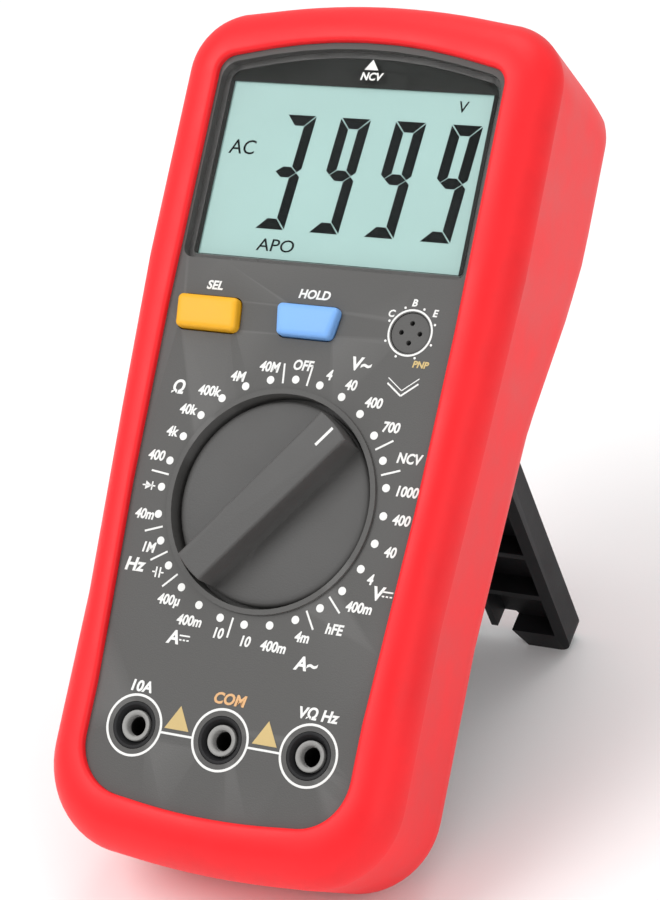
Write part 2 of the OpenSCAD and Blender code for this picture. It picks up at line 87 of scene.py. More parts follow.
def noise(tree, coords, scale, detail=4.0, rough=0.55):
    texture = add(tree, "ShaderNodeTexNoise", Scale=scale, Detail=detail, Roughness=rough)
    tree.links.new(coords.outputs["Object"], texture.inputs["Vector"])
    return texture


def ramp(tree, source, low, high):
    """Spreads the middle of a noise over the range low to high."""
    span = add(tree, "ShaderNodeMapRange")
    span.inputs["From Min"].default_value = 0.3
    span.inputs["From Max"].default_value = 0.7
    span.inputs["To Min"].default_value = low
    span.inputs["To Max"].default_value = high
    tree.links.new(source, span.inputs["Value"])
    return span.outputs["Result"]


def moulded(name, color, rough=0.45, vary=0.12, grain=2600, depth=0.25, wear=0.25,
            metal=0.0, coat=0.0, gloss=0.32, patch=70):
    """A moulded surface: mottled colour, fine grain, uneven gloss and paler worn edges."""
    mat, tree, bsdf = new_material(name)
    coords = add(tree, "ShaderNodeTexCoord")
    blotch = noise(tree, coords, patch)
    fine = noise(tree, coords, grain, 2.0)
    tint = add(tree, "ShaderNodeMix", data_type="RGBA", blend_type="MULTIPLY")
    tint.inputs["Factor"].default_value = 1.0
    tint.inputs["A"].default_value = (*color, 1)
    level = add(tree, "ShaderNodeCombineColor")
    spread = ramp(tree, blotch.outputs["Fac"], 1 - vary, 1 + vary * 0.4)
    for channel in ("Red", "Green", "Blue"):
        tree.links.new(spread, level.inputs[channel])
    tree.links.new(level.outputs["Color"], tint.inputs["B"])
    edge = add(tree, "ShaderNodeNewGeometry")
    worn = add(tree, "ShaderNodeMapRange")
    worn.inputs["From Min"].default_value = 0.53
    worn.inputs["From Max"].default_value = 0.66
    worn.inputs["To Max"].default_value = wear
    tree.links.new(edge.outputs["Pointiness"], worn.inputs["Value"])
    pale = add(tree, "ShaderNodeMix", data_type="RGBA")
    pale.inputs["B"].default_value = (*[min(1, c * 1.35 + 0.06) for c in color], 1)
    tree.links.new(worn.outputs["Result"], pale.inputs["Factor"])
    tree.links.new(tint.outputs["Result"], pale.inputs["A"])
    tree.links.new(pale.outputs["Result"], bsdf.inputs["Base Color"])
    tree.links.new(ramp(tree, blotch.outputs["Fac"], rough - 0.05, rough + 0.07),
                   bsdf.inputs["Roughness"])
    bump = add(tree, "ShaderNodeBump", Strength=depth, Distance=0.0001)
    tree.links.new(fine.outputs["Fac"], bump.inputs["Height"])
    tree.links.new(bump.outputs["Normal"], bsdf.inputs["Normal"])
    bsdf.inputs["Metallic"].default_value = metal
    bsdf.inputs["Coat Weight"].default_value = coat
    bsdf.inputs["Specular IOR Level"].default_value = gloss
    return mat


def clear_lens():
    """Clear acrylic: mostly transparent, with a gloss and a few faint scuffs."""
    mat, tree, bsdf = new_material("clear_lens")
    coords = add(tree, "ShaderNodeTexCoord")
    scuff = noise(tree, coords, 900, 6.0)
    bsdf.inputs["Base Color"].default_value = (0.2, 0.21, 0.21, 1)
    bsdf.inputs["Specular IOR Level"].default_value = 0.12
    tree.links.new(ramp(tree, scuff.outputs["Fac"], 0.03, 0.09), bsdf.inputs["Roughness"])
    tree.links.new(ramp(tree, noise(tree, coords, 40).outputs["Fac"], 0.015, 0.035),
                   bsdf.inputs["Alpha"])
    return mat


def display_glass():
    """Grey-green reflective display with its faint polariser grain, a soft gradient and a faint painted glow."""
    mat, tree, bsdf = new_material("lcd")
    coords = add(tree, "ShaderNodeTexCoord")
    fine = noise(tree, coords, 6000, 2.0)
    broad = noise(tree, coords, 22)
    colors = add(tree, "ShaderNodeMix", data_type="RGBA")
    colors.inputs["A"].default_value = (0.33, 0.52, 0.49, 1)
    colors.inputs["B"].default_value = (0.36, 0.555, 0.52, 1)
    tree.links.new(broad.outputs["Fac"], colors.inputs["Factor"])
    tree.links.new(colors.outputs["Result"], bsdf.inputs["Base Color"])
    # Painted glow: the display's own colour also feeds a faint emission, standing in for light falling through the
    # lens.
    tree.links.new(colors.outputs["Result"], bsdf.inputs["Emission Color"])
    bsdf.inputs["Emission Strength"].default_value = 0.03
    bsdf.inputs["Roughness"].default_value = 0.5
    bump = add(tree, "ShaderNodeBump", Strength=0.1, Distance=0.00005)
    tree.links.new(fine.outputs["Fac"], bump.inputs["Height"])
    tree.links.new(bump.outputs["Normal"], bsdf.inputs["Normal"])
    return mat


RED = (0.9, 0.012, 0.018)
MATERIALS = {
    "red_rubber": moulded("red_rubber", RED, 0.44, 0.1, 3200, 0.22, 0.1),
    "panel_plastic": moulded("panel_plastic", (0.085, 0.083, 0.08), 0.5, 0.1, 3000, 0.45, 0.3),
    "knob_plastic": moulded("knob_plastic", (0.082, 0.08, 0.078), 0.46, 0.1, 2600, 0.35, 0.35),
    "dark_plastic": moulded("dark_plastic", (0.03, 0.03, 0.032), 0.5, 0.2, 2600, 0.5, 0.3),
    "black_plastic": moulded("black_plastic", (0.011, 0.011, 0.012), 0.5, 0.2, 2600, 0.3, 0.3,
                             gloss=0.2),
    "bezel": moulded("bezel", (0.02, 0.022, 0.02), 0.5, 0.15, 3000, 0.1, 0.0, gloss=0.1),
    "steel": moulded("steel", (0.55, 0.55, 0.56), 0.3, 0.1, 4000, 0.1, 0.2, metal=1.0),
    # Nickel kept darker than the bare metal as painted shade: the jack sleeves sit down in their cups.
    "nickel": moulded("nickel", (0.3, 0.295, 0.29), 0.32, 0.15, 4000, 0.1, 0.2, metal=1.0),
    "brass": moulded("brass", (0.7, 0.48, 0.2), 0.32, 0.2, 3000, 0.1, 0.2, metal=1.0),
    "clear_lens": clear_lens(),
    "lcd": display_glass(),
    "lcd_ink": moulded("lcd_ink", (0.004, 0.006, 0.006), 0.7, 0.1, 5000, 0.05, 0.0, gloss=0.03),
    "white_plastic": moulded("white_plastic", (0.75, 0.74, 0.7), 0.5, 0.08, 2500, 0.2, 0.1),
    "soft_rubber": moulded("soft_rubber", (0.12, 0.12, 0.12), 0.65, 0.15, 2500, 0.3, 0.1),
    "pcb": moulded("pcb", (0.02, 0.16, 0.06), 0.3, 0.25, 1500, 0.2, 0.2, coat=0.3),
    "yellow_rubber": moulded("yellow_rubber", (0.85, 0.42, 0.015), 0.42, 0.06, 2600, 0.2, 0.3),
    "blue_rubber": moulded("blue_rubber", (0.2, 0.43, 0.86), 0.42, 0.06, 2600, 0.2, 0.3),
    "blue_plastic": moulded("blue_plastic", (0.05, 0.13, 0.45), 0.35, 0.15, 2000, 0.1, 0.2),
    "ceramic": moulded("ceramic", (0.75, 0.73, 0.68), 0.35, 0.08, 1500, 0.1, 0.1),
    "battery_wrap": moulded("battery_wrap", (0.1, 0.1, 0.11), 0.3, 0.2, 1500, 0.1, 0.3, coat=0.3),
    "print_white": moulded("print_white", (0.82, 0.82, 0.8), 0.55, 0.06, 5000, 0.1, 0.0),
    "print_gold": moulded("print_gold", (0.62, 0.46, 0.2), 0.55, 0.1, 5000, 0.1, 0.0),
    "print_orange": moulded("print_orange", (0.72, 0.42, 0.2), 0.55, 0.1, 5000, 0.1, 0.0),
    "jack_grey": moulded("jack_grey", (0.3, 0.295, 0.285), 0.42, 0.15, 3000, 0.2, 0.2),
}

# ---- Building pieces -------------------------------------------------------


def finish_piece(obj, material, body, replaced=()):
    obj.data.materials.clear()
    obj.data.materials.append(MATERIALS[material])
    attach(obj, body)
    if replaced:
        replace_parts(obj, *replaced)
    return obj


def piece(name, verts, faces, material, body="case", replaced=(), smooth=35):
    """A closed mesh given in panel millimetres; edges sharper than smooth degrees stay crisp."""
    mesh = bpy.data.meshes.new(name)
    mesh.from_pydata([row(*v) for v in verts], [], faces)
    bm = bmesh.new()
    bm.from_mesh(mesh)
    bmesh.ops.remove_doubles(bm, verts=bm.verts, dist=1e-7)
    bmesh.ops.recalc_face_normals(bm, faces=bm.faces)
    bm.to_mesh(mesh)
    bm.free()
    for p in mesh.polygons:
        p.use_smooth = True
    mesh.set_sharp_from_angle(angle=math.radians(smooth))
    obj = bpy.data.objects.new(name, mesh)
    bpy.context.scene.collection.objects.link(obj)
    return finish_piece(obj, material, body, replaced)


def loops_to_mesh(loops, closed_ends=False, wrap=False):
    """Quads between neighbouring closed loops of equally many points."""
    n = len(loops[0])
    verts = [p for loop in loops for p in loop]
    faces = []
    pairs = list(range(len(loops) - 1)) + ([len(loops) - 1] if wrap else [])
    for k in pairs:
        a, b = k * n, (k + 1) % len(loops) * n
        faces += [(a + i, a + (i + 1) % n, b + (i + 1) % n, b + i) for i in range(n)]
    if closed_ends:
        faces += [tuple(range(n))[::-1], tuple((len(loops) - 1) * n + i for i in range(n))]
    return verts, faces


def arc(x, y, r, start, end, steps):
    angles = [math.radians(start + (end - start) * i / steps) for i in range(steps + 1)]
    return [(x + r * math.cos(a), y + r * math.sin(a)) for a in angles]


def soft_step(t, r=0.06):
    """0 below 0 and 1 above 1, straight in between, with rounded corners."""
    def rise(v):
        return 0.5 * (v + math.sqrt(v * v + r * r))
    return rise(t) - rise(t - 1)


def plate(low, high, side_points, inset):
    """Right half of a tapered outline with bowed ends, from bottom centre to top centre.
    low and high are (half width, end y, corner radius, bow)."""
    low_x, high_x = low[0] - low[2], high[0] - high[2]
    pts = [(low_x * i / 8, low[1] + inset + low[3] * (i / 8) ** 2) for i in range(8)]
    pts += arc(low_x, low[1] + low[3] + low[2], low[2] - inset, -84, 0, 14)
    knots = [(low[0], low[1] + low[3] + low[2])] + side_points
    knots.append((high[0], high[1] - high[3] - high[2]))
    for (x0, y0), (x1, y1) in zip(knots, knots[1:]):
        pts += [(x0 + (x1 - x0) * t / 6 - inset, y0 + (y1 - y0) * t / 6) for t in range(1, 6)]
        pts.append((x1 - inset, y1))
    pts = pts[:-1]
    pts += arc(high_x, high[1] - high[3] - high[2], high[2] - inset, 0, 78, 14)
    pts += [(high_x * i / 8, high[1] - inset - high[3] * (i / 8) ** 2) for i in range(7, -1, -1)]
    return pts


def whole(half):
    """Closes a right half outline with its mirror image."""
    return half + [(-x, y) for x, y in half[-2:0:-1]]


lo, hi = panel_box("rear_bumper")
lo_front, hi_front = panel_box("front_bumper")
CREASE = -hi.z
BACK_LOW = 33.8
BACK_HUMP = -lo.z
EDGE = 8.0
DRAFT = 0.065
SKIN = 2.0
SLOPE = (26.0, 66.0)
LEAN = 0.35
CASE_TOP = hi_front.y
CASE_LOW = (39.9, lo_front.y, 19.0, 1.1)
CASE_HIGH = (hi_front.x, hi_front.y, 14.0, 2.6)
CASE_SIDE = [(39.9, -20.0), (41.8, 20.0), (hi_front.x, 52.0)]
PANEL_LOW = (30.5, -65.0, 11.0, 1.3)
PANEL_HIGH = (33.3, 98.5, 4.0, 4.0)
PANEL_SIDE = [(30.5, -42.0), (32.5, 0.0), (33.3, 38.0)]


def case_half(inset):
    return plate(CASE_LOW, CASE_HIGH, CASE_SIDE, inset)


def panel_half(inset):
    return plate(PANEL_LOW, PANEL_HIGH, PANEL_SIDE, inset)


def back_depth(y):
    return BACK_LOW + (BACK_HUMP - BACK_LOW) * soft_step((y - SLOPE[0]) / (SLOPE[1] - SLOPE[0]))


def rear_ring(step, skin):
    """Ring of the rear shell: step 0 to 1 down the side, 1 to 2 round the back edge."""
    half = []
    for (x0, y0), (xb, yb) in zip(case_half(skin), case_half(skin + EDGE)):
        start = back_depth(min(y0, 100)) - EDGE
        radius = EDGE - skin
        if step <= 1:
            depth = CREASE + (start - CREASE) * step
            inset = (depth - CREASE) * DRAFT
        else:
            a = math.radians(90 * (step - 1))
            depth = start + radius * math.sin(a)
            inset = (start - CREASE) * DRAFT + radius * (1 - math.cos(a))
        nx, ny = (x0 - xb) / EDGE, (y0 - yb) / EDGE
        half.append((max(x0 - nx * inset, 0), y0 - ny * inset, -depth))
    return half


def rear_solid(name, skin, rise):
    """Closed body inside the rear surface moved inwards by skin; its front face is raised
    by rise above the parting line."""
    steps = [0, 0.04, 0.25, 0.5, 0.75, 0.96, 1] + [1 + i / 8 for i in range(1, 9)]
    halves = [rear_ring(s, skin) for s in steps]
    if rise:
        halves.insert(0, [(x, y, z + rise) for x, y, z in halves[0]])
    rings = [mirror_ring(half) for half in halves]
    verts, faces = loops_to_mesh(rings)
    n = len(rings[0])
    faces.append(tuple(range(n)))
    last = (len(rings) - 1) * n
    right = [last + i for i in range(n // 2 + 1)]
    left = [last + (n - i) % n for i in range(n // 2 + 1)]
    grid = []
    for k, cells in enumerate(back_rows(halves[-1]), start=1):
        grid.append([right[k]] + [len(verts) + j for j in range(len(cells))] + [left[k]])
        verts += cells
    for a, b in zip(grid, grid[1:]):
        faces += [(a[j], a[j + 1], b[j + 1], b[j]) for j in range(len(a) - 1)]
    faces += [(right[0], *grid[0][::-1]), (right[-1], *grid[-1])]
    return cutter(name, verts, faces)


def mirror_ring(half):
    return half + [(-x, y, z) for x, y, z in half[-2:0:-1]]


def back_rows(half, count=9):
    """Points across the back between the right half of a ring and its mirror image."""
    return [[(x * (1 - 2 * j / (count + 1)), y, z) for j in range(1, count + 1)]
            for x, y, z in half[1:-1]]


def lean_solid(name, skin):
    """Everything below the leaning top end, whose back corner is rounded."""
    slope = math.atan(LEAN)
    drop = skin / math.cos(slope)
    corner = (CASE_TOP - LEAN * (BACK_HUMP - CREASE) - drop + LEAN * skin, -BACK_HUMP + skin)
    radius = EDGE - skin
    reach = radius / math.tan((math.pi / 2 + slope) / 2)
    center = (corner[0] - reach, corner[1] + radius)
    profile = [(-200, corner[1]), (-200, 30), (CASE_TOP + LEAN * (30 + CREASE) - drop, 30)]
    for k in range(9):
        a = -slope - (math.pi / 2 - slope) * k / 8
        profile.append((center[0] + radius * math.cos(a), center[1] + radius * math.sin(a)))
    loops = [[(x, y, z) for y, z in profile] for x in (-80, 80)]
    return cutter(name, *loops_to_mesh(loops, True))


def rear_shell():
    """Red jacket of the rear case: the outer body less the same body moved inwards."""
    body = rear_solid("rear_jacket", 0, 0)
    combine(body, [lean_solid("lean_outer", 0)], "INTERSECT")
    core = rear_solid("core", SKIN, 2)
    combine(core, [lean_solid("lean_core", SKIN)], "INTERSECT")
    combine(body, [core], "DIFFERENCE")
    return finish_piece(body, "red_rubber", "case", ["rear_bumper"])


def cutter(name, verts, faces):
    mesh = bpy.data.meshes.new(name)
    mesh.from_pydata([row(*v) for v in verts], [], faces)
    bm = bmesh.new()
    bm.from_mesh(mesh)
    bmesh.ops.recalc_face_normals(bm, faces=bm.faces)
    bm.to_mesh(mesh)
    bm.free()
    obj = bpy.data.objects.new(name, mesh)
    bpy.context.scene.collection.objects.link(obj)
    return obj


def combine(target, cutters, operation="DIFFERENCE", smooth=32):
    """Applies the cutters to target one after another and removes them."""
    for c in cutters:
        mod = target.modifiers.new("cut", "BOOLEAN")
        mod.object = c
        mod.operation = operation
        mod.solver = "EXACT"
    graph = bpy.context.evaluated_depsgraph_get()
    mesh = bpy.data.meshes.new_from_object(target.evaluated_get(graph), depsgraph=graph)
    target.modifiers.clear()
    target.data = mesh
    for p in mesh.polygons:
        p.use_smooth = True
    mesh.set_sharp_from_angle(angle=math.radians(smooth))
    for c in cutters:
        bpy.data.objects.remove(c)


def prism(name, pts, z0, z1):
    n = len(pts)
    verts, faces = loops_to_mesh([[(x, y, z0) for x, y in pts], [(x, y, z1) for x, y in pts]], True)
    return cutter(name, verts, faces)


def rounded_rect(x0, x1, y0, y1, r, steps=6):
    return (arc(x1 - r, y0 + r, r, -90, 0, steps) + arc(x1 - r, y1 - r, r, 0, 90, steps)
            + arc(x0 + r, y1 - r, r, 90, 180, steps) + arc(x0 + r, y0 + r, r, 180, 270, steps))


def circle(x, y, r, steps=40):
    return arc(x, y, r, 0, 360 - 360 / steps, steps - 1)


# Rim of the front shell: share of the way from the panel's edge to the case's edge, and height
RIM = [(0.0, -2.3), (0.0, 0.7), (0.012, 1.1), (0.05, 1.4), (0.1, 1.5), (0.2, 1.5), (0.33, 1.35),
       (0.46, 1.0), (0.58, 0.45), (0.69, -0.3), (0.79, -1.25), (0.87, -2.4), (0.935, -3.65),
       (0.975, -4.8), (0.996, -5.8), (1.0, -6.19), (0.93, -6.19), (0.78, -6.19), (0.7, -3.2),
       (0.4, -2.3)]


def front_rim():
    inner, outer = whole(panel_half(0)), whole(case_half(0))
    loops = []
    for share, z in RIM:
        loops.append([(a[0] + (b[0] - a[0]) * share, a[1] + (b[1] - a[1]) * share, z)
                      for a, b in zip(inner, outer)])
    verts, faces = loops_to_mesh(loops, wrap=True)
    return piece("front_rim", verts, faces, "red_rubber", "case",
                 ["front_bumper"], smooth=50)


def lathe(profile, steps=96, x=0, y=0):
    """Loops of a closed turned shape about the panel normal; profile is (radius, z)."""
    return loops_to_mesh([[(x + r * math.cos(2 * math.pi * i / steps),
                            y + r * math.sin(2 * math.pi * i / steps), z)
                           for i in range(steps)] for r, z in profile], True)


# ---- Red shells ------------------------------------------------------------
front_rim()
jacket = rear_shell()
hinge = TO_PANEL @ Vector(joints["stand_fold"]["pos_m"]) / MM
# Openings of the jacket: the stand's window, the battery door, its tongue and the case screws
BEHIND = -60
WINDOW_FRONT = -26
HOLE_FRONT = -24
WINDOW_HALF = 35
WINDOW_BELOW = 76.6
WINDOW_ABOVE = 6
DOOR_HALF = 32.3
DOOR_ENDS = (58.3, 91.8)
DOOR_TONGUE = 55.2
TONGUE_R = 4.4
SCREW_R = 3.6
SCREW_SPOTS = [(28, -62), (-28, -62), (29, 46), (-29, 46)]
window = rounded_rect(-WINDOW_HALF, WINDOW_HALF, hinge.y - WINDOW_BELOW,
                      hinge.y + WINDOW_ABOVE, 2.5)
door_hole = rounded_rect(-DOOR_HALF, DOOR_HALF, *DOOR_ENDS, 1.0)
combine(jacket, [
    prism("cut_window", window, BEHIND, WINDOW_FRONT),
    prism("cut_door", door_hole, BEHIND, HOLE_FRONT),
    prism("cut_tongue", circle(0, DOOR_TONGUE, TONGUE_R), BEHIND, HOLE_FRONT),
    *[prism("cut_screw", circle(x, y, SCREW_R), BEHIND, HOLE_FRONT) for x, y in SCREW_SPOTS],
])

# ---- CAD nodes: materials and softened edges -------------------------------
SLOTS = {s["node"]: s["material_slot"] for s in frame["record"]["subparts"]}
LOOKS = {"selector_knob": "knob_plastic", "window_mask": "bezel", "hfe_socket": "panel_plastic"}
SOFTEN = {"front_case": 0.25, "kick_stand": 0.45, "battery_door": 0.3, "rear_case": 0.3,
          "jack_block": 0.12, "hfe_socket": 0.1, "battery_block": 0.6, "meter_chip": 0.15,
          "crystal": 0.5, "trimmer_pots": 0.3, "buzzer": 0.4, "lcd_frame": 0.3,
          "case_screws": 0.12, "battery_door_screw": 0.12, "lcd_window": 0.15}
for name, obj in frame["nodes"].items():
    obj.data.materials.clear()
    obj.data.materials.append(MATERIALS[LOOKS.get(name, SLOTS[name])])
    weld = obj.modifiers.new("weld", "WELD")
    weld.merge_threshold = 1e-6
    if name in SOFTEN:
        bevel = obj.modifiers.new("soften", "BEVEL")
        bevel.width = SOFTEN[name] * MM
        bevel.segments = 3
        bevel.limit_method = "ANGLE"
        bevel.angle_limit = math.radians(40)
        bevel.harden_normals = True

# ---- Selector knob ---------------------------------------------------------
KNOB_R = 21.4
BAR_TOP = 4.8
POINTER = -math.radians(3 * 360 / 28)


def turned(x, y, angle):
    c, s = math.cos(angle), math.sin(angle)
    return x * c - y * s, x * s + y * c


def knob_bar():
    """Flat-topped bar across the disc, with steep flanks and a slightly wider tip."""
    rings = []
    sections = [(0.0, -2.2, 0.95), (0.0, -1.45, 0.8), (0.0, -1.1, 0.62), (0.0, 1.5, 0.42),
                (0.0, 3.9, 0.26), (0.0, 4.3, 0.2), (0.05, 4.62, 0.08), (0.2, 4.76, -0.1),
                (0.45, 4.8, -0.38)]
    for end_in, z, grow in sections:
        reach = KNOB_R - 0.35 - end_in
        right = []
        for t in range(-12, 13):
            w = 3.8 + 0.2 * t / 12 + grow
            right.append((w, math.sqrt(reach ** 2 - w ** 2) * t / 12))
        tips = [(share * right[k][0], sign * math.sqrt(reach ** 2 - (share * right[k][0]) ** 2))
                for k, sign, shares in ((0, -1, (0, 0.35, 0.7)), (-1, 1, (0.7, 0.35, 0)))
                for share in shares]
        half = tips[:3] + right + tips[3:]
        loop = half + [(-x, y) for x, y in half[-2:0:-1]]
        rings.append([(*turned(x, y, POINTER), z) for x, y in loop])
    return loops_to_mesh(rings, True)


def selector():
    disc = [(0.01, -3.9), (20.9, -3.9), (21.4, -3.5), (21.4, -2.35), (21.3, -2.0), (21.05, -1.72),
            (20.7, -1.6), (19.8, -1.55), (10, -1.5), (0.01, -1.5)]
    shaft = [(0.01, -11.3), (3.9, -11.3), (4.0, -11.2), (4.0, -6.3), (5.93, -6.3), (5.93, -3.7),
             (0.01, -3.7)]
    verts, faces = knob_bar()
    for profile in (disc, shaft):
        v, f = lathe(profile)
        faces += [tuple(len(verts) + i for i in face) for face in f]
        verts += v
    return piece("knob", verts, faces, "knob_plastic", "selector",
                 ["selector_knob"], smooth=32)


selector()

# ---- Keys ------------------------------------------------------------------


def inset_quad(corners, by, r, steps=6):
    """Rounded quadrilateral: corners moved inwards by by + r, then rounded by r."""
    cx = sum(p[0] for p in corners) / 4
    cy = sum(p[1] for p in corners) / 4
    pts = []
    for k, (x, y) in enumerate(corners):
        px = x - math.copysign(by + r, x - cx)
        py = y - math.copysign(by + r, y - cy)
        start = (180, 90, 0, -90)[k]
        pts += arc(px, py, r, start, start - 90, steps)
    return pts


def key_cap(name, corners, material, body, node, pill_x):
    levels = [(0.0, -3.8, 1.1), (0.0, 0.9, 1.1), (0.08, 1.35, 1.05), (0.28, 1.7, 0.95),
              (0.6, 1.9, 0.8), (1.3, 1.99, 0.6), (2.4, 2.03, 0.4)]
    loops = [[(x, y, z) for x, y in inset_quad(corners, by, r)] for by, z, r in levels]
    verts, faces = loops_to_mesh(loops, True)
    flange = [[(x, y, z) for x, y in inset_quad(corners, -1.1, 1.6)] for z in (-4.2, -3.2)]
    stem = [[(x, y, z) for x, y in circle(pill_x, 37.7, 2, 24)] for z in (-8.4, -4.0)]
    for part in (flange, stem):
        v, f = loops_to_mesh(part, True)
        faces += [tuple(len(verts) + i for i in face) for face in f]
        verts += v
    return piece(name, verts, faces, material, body, [node], smooth=40)


key_cap("select_cap", [(-30.6, 41.2), (-16.3, 41.2), (-15.6, 34.0), (-30.0, 34.0)],
        "yellow_rubber", "select_button", "select_key", -23.2)
key_cap("hold_cap", [(-7.0, 41.2), (7.2, 41.2), (6.4, 34.4), (-6.2, 34.4)],
        "blue_rubber", "hold_button", "hold_key", 0.1)

# ---- Print -----------------------------------------------------------------
FILM = 0.06


class Print:
    """Collects thin printed shapes on one plane and makes one mesh of them."""

    def __init__(self, level):
        self.verts, self.faces, self.level = [], [], level

    def loops(self, low, high):
        v, f = loops_to_mesh([low, high], True)
        self.faces += [tuple(len(self.verts) + i for i in face) for face in f]
        self.verts += v

    def flat(self, pts, angle=None):
        if angle is not None:
            pts = [turned(x, y, angle) for x, y in pts]
        z = self.level
        self.loops([(x, y, z) for x, y in pts], [(x, y, z + FILM) for x, y in pts])

    def dot(self, x, y, r):
        self.flat(circle(x, y, r, 20))

    def line(self, x0, y0, x1, y1, width):
        dx, dy = x1 - x0, y1 - y0
        size = math.hypot(dx, dy)
        nx, ny = -dy / size * width / 2, dx / size * width / 2
        self.flat([(x0 + nx, y0 + ny), (x0 - nx, y0 - ny), (x1 - nx, y1 - ny), (x1 + nx, y1 + ny)])

    def ring(self, x, y, r, width, steps=72):
        z = self.level
        rims = [(r - width / 2, z), (r + width / 2, z), (r + width / 2, z + FILM),
                (r - width / 2, z + FILM)]
        loops = [[(x + q * math.cos(2 * math.pi * i / steps),
                   y + q * math.sin(2 * math.pi * i / steps), h) for i in range(steps)]
                 for q, h in rims]
        v, f = loops_to_mesh(loops, wrap=True)
        self.faces += [tuple(len(self.verts) + i for i in face) for face in f]
        self.verts += v

    def text(self, words, x, y, height, slant=0.18, bold=0.045, stretch=1.0):
        """Generic dial lettering, centred on x, y, with capitals of the given height."""
        curve = bpy.data.curves.new("words", "FONT")
        curve.body = words
        curve.size = height / 0.73
        curve.align_x = "CENTER"
        curve.align_y = "CENTER"
        curve.shear = slant
        curve.offset = bold * height
        curve.extrude = FILM / 2
        curve.resolution_u = 3
        obj = bpy.data.objects.new("words", curve)
        bpy.context.scene.collection.objects.link(obj)
        graph = bpy.context.evaluated_depsgraph_get()
        mesh = bpy.data.meshes.new_from_object(obj.evaluated_get(graph), depsgraph=graph)
        start = len(self.verts)
        self.verts += [(x + v.co.x * stretch, y + v.co.y, self.level + FILM / 2 + v.co.z)
                       for v in mesh.vertices]
        self.faces += [tuple(start + i for i in p.vertices) for p in mesh.polygons]
        bpy.data.objects.remove(obj)
        bpy.data.meshes.remove(mesh)
        bpy.data.curves.remove(curve)

    def make(self, name, material, slot, body="case"):
        return piece(name, self.verts, self.faces, material, body)


DOT_R = 25.6
STEP = 360 / 28
LABELS = [("OFF", 0.9, 28.6), ("4", 7.3, 27.2), ("40", 12.6, 25.6), ("400", 18.4, 22.5),
          ("700", 23.3, 17.9), ("NCV", 28.6, 12.0), ("1000", 29.5, 5.3), ("400", 29.6, -0.5),
          ("40", 28.6, -7.1), ("4", 25.5, -13.0), ("400m", 24.3, -18.9), ("hFE", 19.9, -23.9),
          ("4m", 13.3, -26.4), ("400m", 7.4, -29.2), ("10", 0.8, -29.0), ("10", -5.6, -28.2),
          ("400m", -12.6, -26.6), ("400µ", -18.3, -23.0), ("", 0, 0), ("1M", -25.7, -12.9),
          ("40m", -28.2, -6.1), ("", 0, 0), ("400", -28.4, 6.4), ("4k", -26.0, 11.8),
          ("40k", -23.4, 16.8), ("400k", -19.4, 21.2), ("4M", -13.4, 24.9),
          ("40M", -6.6, 27.6)]
mounts = {m["name"]: m for m in frame["record"]["mounts"]}
JACK_XS = [mounts[n]["pos_m"][0] / MM for n in ("jack_amp", "jack_com", "jack_volt")]
JACK_Y = (TO_PANEL @ Vector(mounts["jack_com"]["pos_m"]) / MM).y
BREAKS = [0.5, 4.5, 5.5, 10.5, 11.5, 14.5, 17.5, 18.5, 19.5, 21.5, 27.5]


def at_dial(index, r):
    a = math.radians(index * STEP)
    return r * math.sin(a), r * math.cos(a)


